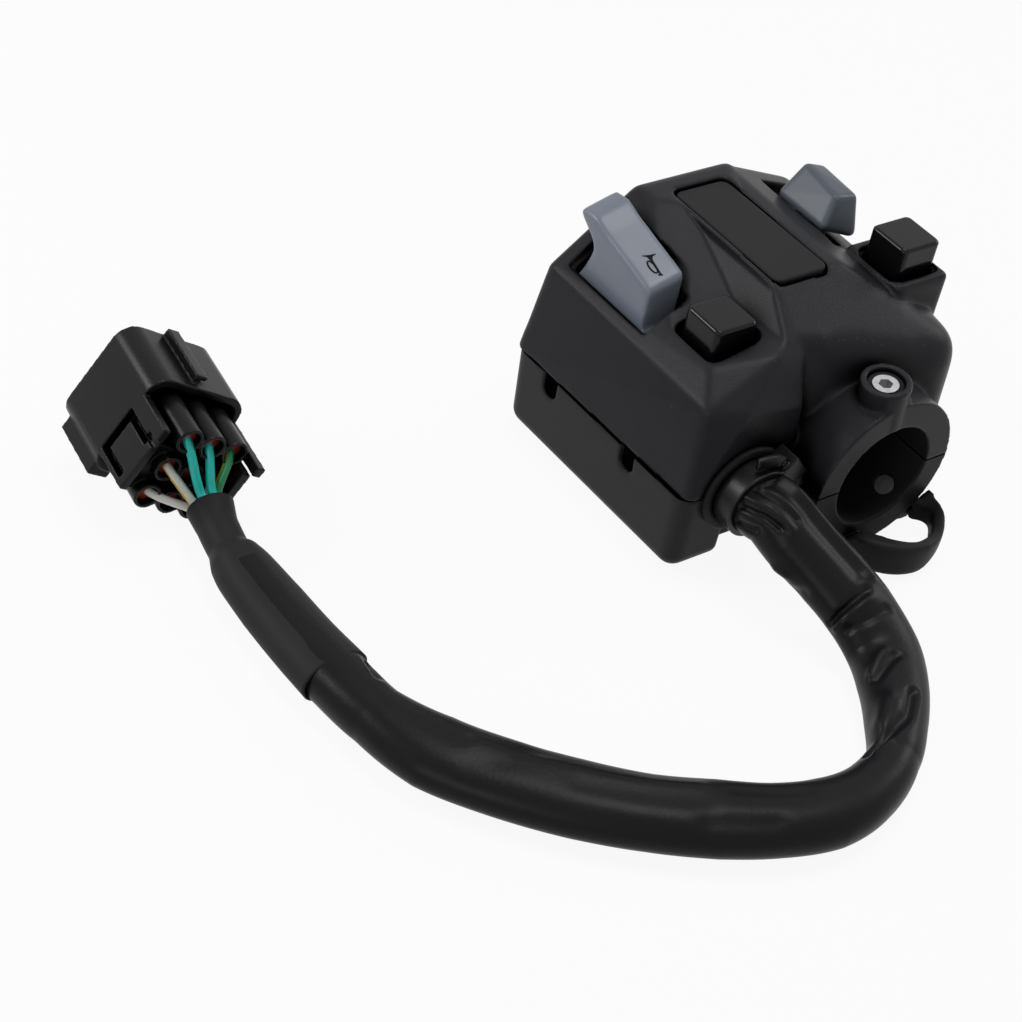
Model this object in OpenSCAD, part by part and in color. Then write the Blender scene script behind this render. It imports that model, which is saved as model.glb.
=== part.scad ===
// Left-hand handlebar switch cluster with its harness and connector, in millimetres.
// The origin lies on the bar's axis in the collar's mouth, +X points out of the mouth along the bar,
// and the housing halves part on the plane z = 0.

/* [Bar clamp] */
// Diameter of the handlebar
bar_d = 22.2; // [21.8:0.1:23]
// Outside diameter of the clamp collar
collar_d = 33.4; // [32:0.2:36]
// How far the collar stands out of the housing
collar_len = 9.5; // [8:0.5:11]
// Thread diameter of the two collar screws
collar_screw_d = 5; // [4:0.5:5.5]
// Diameter of the bosses that hold them
collar_boss_d = 9.8; // [9.2:0.2:11]
// How far those bosses stand from the bar's axis
collar_boss_reach = 20.4; // [19.8:0.2:22]

/* [Housing] */
// Length of the housing along the bar, with the collar
body_len = 62.4; // [61:0.2:66]
// Reach of the left wall from the bar's axis
left_reach = 41.7; // [41:0.5:46]
// Reach of the right wall from the bar's axis
right_reach = 22.5; // [22:0.1:24]
// Height of the left rim over the parting plane
rim_h = 19; // [18.4:0.2:20]
// Height of the flat top
top_h = 32; // [31.4:0.2:34]
// Depth of the lower shell
base_h = 18; // [17.6:0.2:21]
// Lean of the left wall up to the rim
left_lean = 3.7; // [3:0.1:4.2]
// Radius of the moulded edges
edge_r = 2; // [1.4:0.2:2.6]
// Wall of the mouldings
wall = 2.2; // [1.8:0.1:2.4]
// Diameter of the shell screws
shell_screw_d = 3; // [2.6:0.2:3.4]
// Diameter of the clamp screws
clamp_screw_d = 4; // [3.6:0.2:4.6]

/* [Horn key] */
// Width of the key across the housing
horn_w = 8; // [7.4:0.2:8.6]
// Length of the key's foot
horn_len = 19.8; // [19:0.2:20.4]
// Height of the key's front edge over its pivot
horn_h = 11; // [10.4:0.2:11.6]
// Sideways tilt of its thumb face
horn_tilt = 16; // [10:1:20]
// Diameter of its pivot pin
horn_pin_d = 2.6; // [2:0.2:3]

/* [Square buttons] */
// Width of a square button
button_w = 9.6; // [9:0.1:9.8]
// Height of a button over its seat
button_h = 6; // [5:0.2:7]
// Travel of a button
button_travel = 2; // [1.4:0.2:2.4]
// Diameter of its plunger
plunger_d = 4; // [3.4:0.2:4.6]

/* [Turn switch] */
// Length of the knob along the bar
knob_len = 14; // [12:0.5:15]
// Width of the knob
knob_w = 10; // [9:0.2:10.6]
// Height of the knob over its seat
knob_h = 7.4; // [6.4:0.2:8.4]
// Travel of the knob to either side
knob_travel = 3.5; // [2.5:0.25:3.5]
// Travel of the push that cancels
cancel_travel = 1.2; // [0.8:0.1:1.3]

/* [Blank panel] */
// Length of the panel
panel_len = 31.2; // [29:0.2:31.6]
// Width of the panel
panel_w = 13; // [12:0.2:13.4]
// Thickness of the panel
panel_t = 2.8; // [2.2:0.2:3.2]

/* [Harness] */
// Diameter of the sheathed cable
cable_d = 12; // [11:0.5:12.5]
// Height of the cable where it lies flat
cable_h = 9.6; // [8.6:0.2:11]
// Diameter of one wire
wire_d = 1.7; // [1.4:0.1:2]
// Length of the connector's hood
plug_len = 15.4; // [14.4:0.2:18]
// Width of the connector
plug_w = 22.4; // [22:0.2:24]
// Height of the connector
plug_h = 22; // [21.6:0.2:25]
// Wall of the connector's hood
plug_wall = 1.6; // [1.2:0.1:1.8]
// Distance between the wire ways
way_pitch = 5.4; // [5.2:0.05:5.6]

/* [Hidden] */
$fn = 48;
soft_fn = 24;
fit = 0.05;
clear = 0.4;
far = 200;

// Bar and collar
bore_r = bar_d / 2;
collar_r = collar_d / 2;
front_x = -collar_len;
back_x = -body_len;
collar_screw_x = -4.7;
collar_screw_angles = [6, 222];

// Housing outline
ridge_y = 1.8;
top_left_y = -19.5;
plateau_tilt = 13;
plateau_y = -34.2;
plateau_z = rim_h + 3.1;
ramp_x = -31;
ramp_rise = 14;
facet_tilt = 34;
slope_tilt = 23;
shelf_z = 14.5;
split_y = -19.5;
inner_front_x = -17;

// Square buttons: centre, seat height
mode_at = [-25.5, -26.6, plateau_z];
beam_at = [-25.6, right_reach - 5.4, top_h - 3.8];
boss_right = right_reach + 1.4;
flange_w = button_w + 1.2;
flange_t = 1.5;
stem_reach = 2.6;
spring_room = 4.6;
mode_ceiling = plateau_z - wall + 0.3;
beam_ceiling = beam_at.z - wall;

// Blank panel
panel_x = -41.4;
panel_y = -8;
panel_top = top_h - 0.6;
panel_floor = panel_top - panel_t;
panel_left = panel_y - panel_w / 2 - 1.3;
panel_front = panel_x + panel_len / 2 + 1.3;

// Horn key and its pivot
horn_right = -26.4;
horn_left = horn_right - horn_w;
horn_front = back_x + 25.6;
horn_back = horn_front - horn_len;
horn_pivot = [horn_front - 1.6, rim_h - 2.4];
horn_lug_r = horn_pin_d / 2 + 1.4;

// Board that carries the horn and mode switches
board_z = 4;
board_t = 1.6;
board_top = board_z + board_t;
board_x = [back_x + 4, inner_front_x - 1];
board_y = [-34.2, split_y - 0.6];
board_posts = [[board_x[0] + 3, board_y[1] - 3], [mode_at.x - flange_w / 2 - 3.2, board_y[1] - 3]];
board_rest = [mode_at.x, board_y[1] - 2.4];

mode_flange_z = mode_ceiling - flange_t - 0.1;
beam_flange_z = beam_ceiling - flange_t - 0.1;
mode_switch_h = mode_flange_z - spring_room - board_top;
beam_switch_h = beam_flange_z - spring_room - shelf_z;

// Turn switch
turn_x = back_x + 17.4;
knob_y = 13.2;
turn_y = 12.4;
turn_base_t = 2;
carriage_z = shelf_z + turn_base_t + 0.1;
carriage_size = [11, 7, 4.2];
carriage_top = carriage_z + carriage_size[2];
stem_w = 5;
slope_y0 = ridge_y;
slope_z0 = top_h - 0.4;
slope_drop = tan(slope_tilt);

// Cable exit and route along the floor
floor_z = -base_h;
exit_y = -27.5;
exit_r = cable_d / 2 + 1;
lie_z = floor_z + cable_h / 2;
sheath_route = [[inner_front_x + 3.4, exit_y, 0], [front_x + 6, exit_y, 0],
    [front_x + 9, exit_y + 0.1, -1], [4, -26.4, -4.4], [11, -24, -8], [19, -21.6, -11.2],
    [27, -21.2, lie_z], [35, -24.2, lie_z], [42, -29.6, lie_z], [48, -37, lie_z], [51.8, -46, lie_z],
    [52, -55, lie_z], [49.2, -64, lie_z], [44.4, -73, lie_z], [38, -82.4, lie_z], [30, -91.6, lie_z],
    [21, -100, lie_z], [11, -107, lie_z], [0, -111.6, lie_z], [-11, -113.2, lie_z]];
sleeve_route = [[-11, -113.2, lie_z], [-20, -113.8, lie_z], [-30, -114, lie_z], [-39, -114, lie_z + 0.4],
    [-46, -113.8, lie_z + 1.2], [-50.4, -113, lie_z + 2], [-54.6, -112, lie_z + 2.8]];
sleeve_size = [1.03, 1.02, 1, 0.94, 0.8, 0.68, 0.66];

// Connector: pose of its hood's open back, and its wire ways as columns and rows
plug_yaw = -5;
plug_dip = 4;
plug_roll = -32;
plug_at = [-68.9, -112.9];
plug_corner = 4;
plug_z = floor_z + 0.1 + plug_corner + (plug_w / 2 - plug_corner) * sin(-plug_roll)
    + (plug_h / 2 - plug_corner) * cos(plug_roll);
way_shift = 0.4;
way_cols = [-1, 0, 1];
way_rows = [5.9, -0.8, -7.4];
way_r = 2;
way_wall = 0.65;
way_end = 10;
way_deep = 8;
seal_len = 3;

function unit(v) = v / norm(v);
function lerp(a, b, t) = a + (b - a) * t;

// Points of an arc of radius r that rounds the corner b between a and c
function arc_corner(a, b, c, r, n = 4) =
    let (u = unit(a - b), v = unit(c - b), half = acos(u * v) / 2)
    let (hub = b + unit(u + v) * r / sin(half))
    let (p = b + u * r / tan(half) - hub, q = b + v * r / tan(half) - hub)
    [for (i = [0:n]) hub + r * unit(lerp(p, q, i / n))];

// Outline through corners given as [x, y, radius]
function soft_outline(pts) = let (m = len(pts)) [for (i = [0:m - 1])
    let (a = pts[(i + m - 1) % m], b = pts[i], c = pts[(i + 1) % m])
    each (b[2] > 0 ? arc_corner([a.x, a.y], [b.x, b.y], [c.x, c.y], b[2]) : [[b.x, b.y]])];

// Direction of a path at point i
function heading(path, i) = unit(path[min(i + 1, len(path) - 1)] - path[max(i - 1, 0)]);

// Points of a coil spring round Z
function coil(r, h, turns, steps = 10) =
    [for (i = [0:turns * steps]) let (a = 360 * i / steps)
        [r * cos(a), r * sin(a), h * i / (turns * steps)]];

// Points between two ends with their directions
function bend_path(p0, d0, p1, d1, n = 6) = [for (i = [0:n]) let (t = i / n)
    pow(1 - t, 3) * p0 + 3 * t * pow(1 - t, 2) * (p0 + d0)
        + 3 * t * t * (1 - t) * (p1 - d1) + pow(t, 3) * p1];

// Closed tube along a path, with one radius or a pair of half width and half height for each point
module tube(path, r, sides = 8, up = [0, 0, 1]) {
    m = len(path);
    rings = [for (i = [0:m - 1]) let (t = heading(path, i), u = unit(cross(t, up)), v = cross(u, t))
        for (k = [0:sides - 1])
            let (a = 360 * k / sides, w = is_list(r) ? r[i].x : r, h = is_list(r) ? r[i].y : r)
            path[i] + w * cos(a) * u + h * sin(a) * v];
    points = concat(rings, [path[0], path[m - 1]]);
    walls = [for (i = [0:m - 2], k = [0:sides - 1])
        let (a = i * sides + k, b = i * sides + (k + 1) % sides)
        each [[a, b, b + sides], [a, b + sides, a + sides]]];
    ends = [for (k = [0:sides - 1]) let (n = (k + 1) % sides, e = (m - 1) * sides)
        each [[m * sides, n, k], [m * sides + 1, e + k, e + n]]];
    polyhedron(points, concat(walls, ends), convexity = 6);
}

// Profile drawn in Y and Z, extruded from x0 to x1
module along_x(x0, x1) {
    translate([x0, 0, 0]) rotate([90, 0, 90]) linear_extrude(x1 - x0) children();
}

// Profile drawn in X and Z, extruded from y0 to y1
module along_y(y0, y1) {
    translate([0, y1, 0]) rotate([90, 0, 0]) linear_extrude(y1 - y0) children();
}

// Cylinder along X
module bar(r, x0, x1) {
    translate([x0, 0, 0]) rotate([0, 90, 0]) cylinder(r = r, h = x1 - x0);
}

// Rounded rectangle
module soft_square(w, d, r) {
    square([w - 2 * r, d], center = true);
    square([w, d - 2 * r], center = true);
    for (sx = [-1, 1], sy = [-1, 1]) translate([sx * (w / 2 - r), sy * (d / 2 - r)]) circle(r);
}

// Box between two corners
module block(a, b) {
    translate(a) cube(b - a);
}

// Solid hull over balls given as [x, y, z, radius]
module pebble(balls) {
    hull() for (b = balls) translate([b[0], b[1], b[2]]) sphere(b[3], $fn = soft_fn);
}

// Everything above the parting plane, or below it
module half_space(side) {
    translate([-far / 2, -far / 2, side > 0 ? 0 : -far]) cube(far);
}

// Place children in a collar screw's frame, with +Z pointing away from the bar
module at_collar_screw(a) {
    translate([collar_screw_x, 0, 0]) rotate([a, 0, 0]) children();
}

// Rounded masses of the upper moulding: the switch block, the bar block and the beam button's boss
module upper_form() {
    e = edge_r;
    left = -left_reach + e;
    rim_left = left + left_lean;
    plateau_corner = [-17.8, -15.4, rim_h + 5.6, e];
    panel_corner = [-27.4, top_left_y + 5, top_h - e - 0.4, e];
    pebble([[back_x + e, left, 0, e], [front_x - e, left + 1.6, 0, e],
        [back_x + e, rim_left, rim_h - e, e], [front_x - e - 2.6, rim_left, rim_h - e, e],
        [back_x + e, top_left_y, top_h - e, e], [back_x + e, ridge_y, top_h - e, e], panel_corner,
        [-18.4, plateau_y + 1.4, plateau_z - e, e], [-15.2, -22, rim_h + 4, e], plateau_corner,
        [front_x - e, -30, rim_h - e, e], [front_x - e, -18, rim_h - 4, e], [front_x - e, -16, 0, e],
        [back_x + e, ridge_y, 0, e]]);
    pebble([plateau_corner, panel_corner, [back_x + e, ridge_y, slope_z0 - e, e],
        [-27.4, ridge_y, slope_z0 - e - 0.6, e], [back_x + 3, right_reach - 5.4, 22.8, 3],
        [back_x + 3, right_reach - 3, 17.6, 3], [back_x + 3, right_reach - 3, 0, 3],
        [-13.2, right_reach - 6.6, 15.8, 6.6], [-12.6, right_reach - 6.6, 0, 6.6],
        [-15.5, -9, 9, 6], [-15.5, -9, 0, 6], [back_x + 3, -9, 0, 3]]);
    pebble([for (x = [-32.6, -19.2], y = [beam_at.y - 5.3, boss_right - 1.2],
        z = [17, beam_at.z - 1.2]) [x, y, z, 1.2]]);
}

// Recess round the mode button: a tilted plane with a ramp behind it
module plateau_cut() {
    intersection() {
        translate([0, 0, rim_h]) linear_extrude(far / 4) polygon(soft_outline([[-56, plateau_y - 4, 0],
            [0, plateau_y - 4, 0], [0, -14.4, 0], [-15.6, -14.4, 5], [-24, -10.8, 2],
            [panel_front, panel_left, 0], [-56, panel_left, 0]]));
        translate([0, plateau_y, plateau_z]) rotate([plateau_tilt, 0, 0]) along_y(-6, 40)
            polygon([[ramp_x, 0], [10, 0], [10, 30], [ramp_x - 40, 30],
            [ramp_x - 40, 40 * tan(ramp_rise)]]);
        along_x(-far / 2, far / 2) polygon([[panel_left, panel_top - 1],
            [panel_left - 6, panel_top - 9.6], [plateau_y - 8, plateau_z - 20],
            [plateau_y - 8, top_h + 20], [0, top_h + 20], [0, panel_top - 1]]);
    }
}

// Hollow of the upper moulding: switch room on the left, turn switch room over the bar, beam switch room
module upper_hollow() {
    left = -left_reach + wall;
    along_x(back_x + wall, inner_front_x) polygon([[left, -1], [left, 2],
        [left + left_lean - 0.8, rim_h - 6], [-34.6, rim_h - 1.8], [-32.4, plateau_z - wall - 0.2],
        [split_y, plateau_z + 0.8], [split_y, -1]]);
    along_x(back_x + wall, -44) polygon([[-24, shelf_z + 1.5], [-24, plateau_z - 1],
        [split_y + 0.5, panel_floor - wall - 1.5], [split_y + 2, panel_floor - wall],
        [0, panel_floor - wall], [0, shelf_z], [split_y - 0.1, shelf_z]]);
    along_x(back_x + wall, -34.2) polygon([[-12, shelf_z], [-12, panel_floor - wall],
        [0.5, panel_floor - wall], [right_reach - 4.6, 20.6], [right_reach - 2.4, 17.4],
        [right_reach - 2.4, shelf_z]]);
    block([-34.3, beam_at.y - 4, shelf_z], [beam_at.x - flange_w / 2, beam_at.y + 2.5, shelf_z + 4]);
    translate([beam_at.x, beam_at.y, shelf_z]) linear_extrude(beam_ceiling - shelf_z)
        square(flange_w + 0.3, center = true);
}

// Bosses that take the shell screws
module shell_screw_spots() {
    for (x = [back_x + 5.7, inner_front_x - 3.6]) translate([x, -left_reach + 6.4, 0]) children();
}

// Spots of the screws that clamp the halves round the bar
module clamp_screw_spots() {
    for (p = [[back_x + 12, right_reach - 6.6], [-16, right_reach - 6.6], [-32, -14.8]])
        translate([p.x, p.y, 0]) children();
}

module upper_shell() {
    color([0.07, 0.07, 0.075]) difference() {
        union() {
            difference() {
                intersection() {
                    upper_form();
                    half_space(1);
                }
                plateau_cut();
                upper_hollow();
            }
            intersection() {
                bar(collar_r, front_x - 6, 0);
                half_space(1);
            }
            at_collar_screw(collar_screw_angles[0]) cylinder(d = collar_boss_d, h = collar_boss_reach);
            intersection() {
                shell_screw_spots() cylinder(d = shell_screw_d + 3.2, h = rim_h - 5);
                along_x(back_x + 1, inner_front_x + 1) polygon([[-left_reach + 1, 0],
                    [-left_reach + 3.4, rim_h - 4], [0, rim_h - 4], [0, 0]]);
            }
            // Lug that carries the inner end of the horn's pin
            block([horn_pivot.x - 3, horn_right + 0.7, horn_pivot.y - 3.2],
                [horn_pivot.x + 3, horn_right + 3.6, rim_h + 3.5]);
            block([horn_pivot.x - 3, horn_left - 2.6, horn_pivot.y - 3.2],
                [horn_pivot.x + 3, horn_left - 0.7, horn_pivot.y + 1.2]);
        }
        bar(bore_r, back_x - 1, 1);
        at_collar_screw(collar_screw_angles[0]) {
            cylinder(d = collar_screw_d + 2 * fit, h = far / 4);
            translate([0, 0, collar_boss_reach - 2.6]) cylinder(d = collar_screw_d + 2.2, h = 4);
        }
        // Cable exit
        translate([0, exit_y, 0]) bar(exit_r, inner_front_x - 1, front_x + 4);
        // Recess and slot of the horn key
        translate([0, -left_reach + left_lean, rim_h]) rotate([facet_tilt, 0, 0])
            block([horn_back - 1.8, 2, -1.7], [horn_front + 2.4, 17, 8]);
        block([horn_back - 0.9, horn_left - clear, 8],
            [horn_pivot.x + horn_lug_r + clear, horn_right + clear, 50]);
        translate([horn_pivot.x, horn_left - 1.9, horn_pivot.y]) rotate([-90, 0, 0])
            cylinder(d = horn_pin_d + fit, h = horn_w + 5);
        // Wells of the square buttons
        for (p = [mode_at, beam_at]) translate([p.x, p.y, p.z - 8]) linear_extrude(30)
            soft_square(button_w + 0.7, button_w + 0.7, 1.4);
        for (p = [mode_at, beam_at]) translate([p.x, p.y, p.z - 1]) linear_extrude(30)
            soft_square(button_w + 2.4, button_w + 2.4, 2.2);
        translate([mode_at.x, mode_at.y, 1]) linear_extrude(mode_ceiling - 1)
            square(flange_w + 0.6, center = true);
        // Seat and opening of the blank panel
        translate([panel_x, panel_y, panel_floor]) linear_extrude(20)
            soft_square(panel_len + 1, panel_w + 1, 2.2);
        translate([panel_x - 1, panel_y, 20]) linear_extrude(20)
            soft_square(panel_len - 9, panel_w - 4, 1);
        // Seat and slot of the turn knob
        translate([turn_x, slope_y0, slope_z0]) rotate([-slope_tilt, 0, 0])
            block([-knob_len / 2 - knob_travel - 1, 6.4, -2.2], [knob_len / 2 + knob_travel + 1, 30, 10]);
        translate([turn_x, turn_y, shelf_z + 1.5]) linear_extrude(20)
            square([stem_w + 2 * knob_travel + 2 * clear, stem_w + 2 * clear], center = true);
        // Holes for the screws from below
        shell_screw_spots() translate([0, 0, -1]) cylinder(d = shell_screw_d, h = 10);
        clamp_screw_spots() translate([0, 0, -1]) cylinder(d = clamp_screw_d, h = 11);
    }
}

// Rounded masses of the lower moulding
module lower_form() {
    e = 3.4;
    left = -left_reach + e;
    pebble([[back_x + e, left, 0, e], [front_x - e, left + 0.8, 0, e],
        [back_x + e, left + 0.8, e - base_h, e], [front_x - e - 0.6, left + 1.6, e - base_h, e],
        [back_x + e, -12, e - base_h, e], [front_x - e - 0.6, -17, e - base_h, e],
        [front_x - e, -16, 0, e], [back_x + e, -12, 0, e]]);
    pebble([[back_x + e, -12, e - base_h, e], [back_x + e, -12, 0, e],
        [front_x - e - 0.6, -17, e - base_h, e], [front_x - e, -16, 0, e],
        [back_x + e, right_reach - e, 0, e], [back_x + e, right_reach - 5.5, 3 - base_h + e, e],
        [-13.5, right_reach - 6, 0, 6], [-14, right_reach - 7, 9 - base_h, 6]]);
}

// Hooked guide under the collar: a flat ring whose free end rises to a tip
module cable_hook() {
    translate([0, 5, 0]) rotate([0, 0, -138]) rotate_extrude(angle = 232) translate([7.4, -base_h - 2])
        square([4, 14]);
}

module hook_profile() {
    along_x(-12, 14) polygon(soft_outline([[-12, 0.6 - base_h, 0], [6, 0.6 - base_h, 8],
        [17.4, 4.6 - base_h, 4], [18.6, 9.4 - base_h, 0], [10, 5.8 - base_h, 10],
        [-12, 4.6 - base_h, 0]]));
}

module lower_shell() {
    color([0.085, 0.082, 0.082]) difference() {
        union() {
            difference() {
                intersection() {
                    lower_form();
                    half_space(-1);
                }
                block([back_x + wall, -left_reach + wall, wall - base_h], [inner_front_x, split_y, 1]);
            }
            intersection() {
                union() {
                    bar(collar_r, front_x - 6, 0);
                    at_collar_screw(collar_screw_angles[1])
                        cylinder(d = collar_boss_d - 2.6, h = collar_boss_reach + 0.4);
                }
                half_space(-1);
            }
            intersection() {
                cable_hook();
                hook_profile();
            }
            intersection() {
                shell_screw_spots() translate([0, 0, -base_h + 1])
                    cylinder(d = shell_screw_d + 4.4, h = base_h - 1);
                block([back_x + 1, -left_reach + 1.4, -base_h + 1], [inner_front_x + 1, 0, 0]);
            }
            for (p = concat(board_posts, [board_rest])) translate([p.x, p.y, 1 - base_h])
                cylinder(d = 5, h = board_z + base_h - 1);
        }
        bar(bore_r, back_x - 1, 1);
        at_collar_screw(collar_screw_angles[1]) cylinder(d = collar_screw_d + 2 * fit - 1, h = far / 4);
        translate([0, exit_y, 0]) bar(exit_r, inner_front_x - 1, front_x + 4);
        // Room under the cable beside the front corner
        block([inner_front_x + 2.4, -28.6, -base_h - 1], [0, -17.4, -9.2]);
        // Pry notches under the parting line
        for (x = [-50.5, -26.5]) translate([x, -left_reach - 1, 0]) rotate([-90, 0, 0])
            linear_extrude(2.8) polygon(soft_outline([[-2, -1, 0], [-2, 4.8, 1.8], [2, 4.8, 1.8],
            [2, -1, 0]]));
        shell_screw_spots() translate([0, 0, -base_h - 1]) {
            cylinder(d = shell_screw_d + 0.6, h = base_h + 2);
            cylinder(d = 2 * shell_screw_d + 0.6, h = 6);
        }
        clamp_screw_spots() translate([0, 0, -base_h - 1]) {
            cylinder(d = clamp_screw_d + 0.6, h = base_h + 2);
            cylinder(d = 2 * clamp_screw_d - 0.6, h = 8);
        }
        for (p = board_posts) translate([p.x, p.y, board_z - 7]) cylinder(d = 1.8, h = 8);
    }
}

module blank_panel() {
    color([0.05, 0.05, 0.055]) {
        translate([panel_x, panel_y, panel_floor]) linear_extrude(panel_t)
            soft_square(panel_len, panel_w, 1.8);
        for (sx = [-1, 1]) translate([panel_x - 1 + sx * (panel_len / 2 - 6), panel_y, panel_floor - 4])
            linear_extrude(4.2) square([1.6, panel_w - 6], center = true);
    }
}

// Screw with a round head at the origin, shank upwards
module screw(d, head_d, head_h, len, drive_d) {
    difference() {
        union() {
            translate([0, 0, -head_h]) cylinder(d = head_d, h = head_h);
            cylinder(d = d, h = len);
        }
        translate([0, 0, -head_h - 0.1]) cylinder(d = drive_d, h = head_h * 0.7, $fn = 6);
    }
}

module collar_screws() {
    for (i = [0, 1]) {
        d = collar_screw_d - i;
        color("silver") at_collar_screw(collar_screw_angles[i]) difference() {
            translate([0, 0, bore_r + 0.25]) cylinder(d = d, h = collar_boss_reach - bore_r - 1.2);
            translate([0, 0, collar_boss_reach - 3]) cylinder(d = d * 0.56, h = 4, $fn = 6);
        }
    }
}

module screw_ring() {
    color([0.03, 0.03, 0.03]) at_collar_screw(collar_screw_angles[0])
        translate([0, 0, collar_boss_reach - 2.6]) rotate_extrude()
            polygon(soft_outline([[collar_screw_d / 2 + fit, 0, 0],
            [collar_screw_d / 2 + 1.1 - fit, 0, 0], [collar_screw_d / 2 + 1.1 - fit, 1.7, 0.3],
            [collar_screw_d / 2 + fit, 1.4, 0.2]]));
}

module clamp_screws() {
    color("dimgray") clamp_screw_spots() translate([0, 0, 7 - base_h])
        screw(clamp_screw_d - 2 * fit, 2 * clamp_screw_d - 1.2, 4, base_h + 2, 3);
}

module shell_screws() {
    color("dimgray") shell_screw_spots() translate([0, 0, 5 - base_h])
        screw(shell_screw_d - 2 * fit, 2 * shell_screw_d - 0.4, 2.4, base_h + 3, 2);
}

// Board with the spring's and the switches' seats, held on the lower shell's posts
module contact_board() {
    color([0.35, 0.2, 0.08]) difference() {
        block([board_x[0], board_y[0], board_z], [board_x[1], board_y[1], board_top]);
        for (p = board_posts) translate([p.x, p.y, 0]) cylinder(d = 2.4, h = 20);
        shell_screw_spots() cylinder(d = shell_screw_d + 4.4, h = 20);
    }
}

module board_screws() {
    color("silver") for (p = board_posts) translate([p.x, p.y, board_top]) mirror([0, 0, 1])
        screw(1.8 - fit, 4, 1.2, board_t + 5, 1.4);
}

// Horn key: the thumb profile runs across at a tilt, between upright flanks
module horn_key() {
    color([0.36, 0.38, 0.42]) difference() {
        union() {
            intersection() {
                translate([horn_pivot.x, (horn_left + horn_right) / 2, horn_pivot.y])
                    rotate([horn_tilt, 0, 0])
                    along_y(-20, 20) polygon(soft_outline([[1.4, -6, 0], [1.4, horn_h, 1.4],
                        [-13.4, horn_h + 3.4, 8], [-17, horn_h + 4.7, 3], [-21.4, horn_h + 4.2, 0.6],
                        [-21.4, horn_h + 3, 0.5], [-15.6, horn_h - 0.8, 2.4],
                        [1.6 - horn_len, 3, 0], [1.6 - horn_len, -6, 0]]));
                block([far / -2, horn_left, horn_pivot.y - 0.6], [far / 2, horn_right, far / 2]);
            }
            translate([horn_pivot.x, horn_left, horn_pivot.y]) rotate([-90, 0, 0])
                cylinder(r = horn_lug_r, h = horn_w);
        }
        translate([horn_pivot.x, horn_left - 1, horn_pivot.y]) rotate([-90, 0, 0])
            cylinder(d = horn_pin_d + 2 * fit, h = horn_w + 2);
        // Spring seat under the key's back end
        translate([horn_back + 5, (horn_left + horn_right) / 2, 0])
            cylinder(d = 6.4, h = horn_pivot.y + 1.4);
    }
}

module horn_pin() {
    color("silver") translate([horn_pivot.x, horn_left - 1.8, horn_pivot.y]) rotate([-90, 0, 0])
        cylinder(d = horn_pin_d - fit, h = horn_w + 4.8);
}

module horn_spring() {
    h = horn_pivot.y + 1.1 - board_top - 0.6;
    color("silver") translate([horn_back + 5, (horn_left + horn_right) / 2, board_top + 0.35])
        tube(coil(2.4, h, 6), 0.3, 6);
}

// Bronze blade that the key's underside meets when pressed
module horn_contact() {
    color([0.7, 0.5, 0.25]) translate([0, (horn_left + horn_right) / 2, 0]) along_y(-1.5, 1.5)
        polygon([[horn_back + 9.6, board_top], [horn_back + 15.6, board_top],
        [horn_back + 15.6, board_top + 0.5], [horn_back + 10.2, board_top + 0.5],
        [horn_back + 11.6, horn_pivot.y - 2.7], [horn_back + 11.1, horn_pivot.y - 2.5]]);
}

// Square button with its flange and plunger; the flange stops under the shell
module square_button(at, flange_z) {
    translate([at.x, at.y, 0]) {
        translate([0, 0, flange_z]) linear_extrude(at.z + button_h - 0.5 - flange_z)
            soft_square(button_w, button_w, 1.2);
        hull() {
            translate([0, 0, at.z + button_h - 0.6]) linear_extrude(0.2)
                soft_square(button_w, button_w, 1.2, $fn = 32);
            translate([0, 0, at.z + button_h - 0.1]) linear_extrude(0.1)
                soft_square(button_w - 0.8, button_w - 0.8, 1, $fn = 32);
        }
        translate([0, 0, flange_z]) linear_extrude(flange_t) square(flange_w, center = true);
        translate([0, 0, flange_z - spring_room - stem_reach])
            cylinder(d = plunger_d, h = spring_room + stem_reach + 0.2);
    }
}

// Switch box under a square button, with the plunger's guide bore
module switch_box(at, z0, h) {
    translate([at.x, at.y, z0]) difference() {
        linear_extrude(h) soft_square(flange_w - 0.4, flange_w - 0.4, 0.8);
        translate([0, 0, h - stem_reach - button_travel - 0.2]) cylinder(d = plunger_d + 2 * fit, h = 6);
    }
}

module button_spring(at, z0) {
    color("silver") translate([at.x, at.y, z0 + 0.3])
        tube(coil(plunger_d / 2 + 0.95, spring_room - 0.6, 4), 0.28, 6);
}

module mode_button() { color([0.03, 0.03, 0.032]) square_button(mode_at, mode_flange_z); }
module mode_spring() { button_spring(mode_at, board_top + mode_switch_h); }
module mode_switch() { color([0.12, 0.12, 0.13]) switch_box(mode_at, board_top, mode_switch_h); }
module beam_button() { color([0.03, 0.03, 0.032]) square_button(beam_at, beam_flange_z); }
module beam_spring() { button_spring(beam_at, shelf_z + beam_switch_h); }
module beam_switch() { color([0.12, 0.12, 0.13]) switch_box(beam_at, shelf_z, beam_switch_h); }

// Base with the rails that the turn carriage slides between
module turn_base() {
    len = carriage_size.x + 2 * knob_travel + 3;
    color([0.3, 0.18, 0.08]) translate([turn_x, turn_y, shelf_z]) {
        linear_extrude(turn_base_t) square([len, carriage_size.y + 3.2], center = true);
        for (s = [-1, 1]) translate([0, s * (carriage_size.y / 2 + 0.85), 0])
            linear_extrude(turn_base_t + 2)
            square([len, 1.5], center = true);
    }
}

module turn_carriage() {
    color("ivory") translate([turn_x, turn_y, carriage_z]) difference() {
        linear_extrude(carriage_size.z) square([carriage_size.x, carriage_size.y], center = true);
        translate([0, 0, 1.2]) linear_extrude(carriage_size.z) square(stem_w + 0.3, center = true);
    }
}

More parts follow.
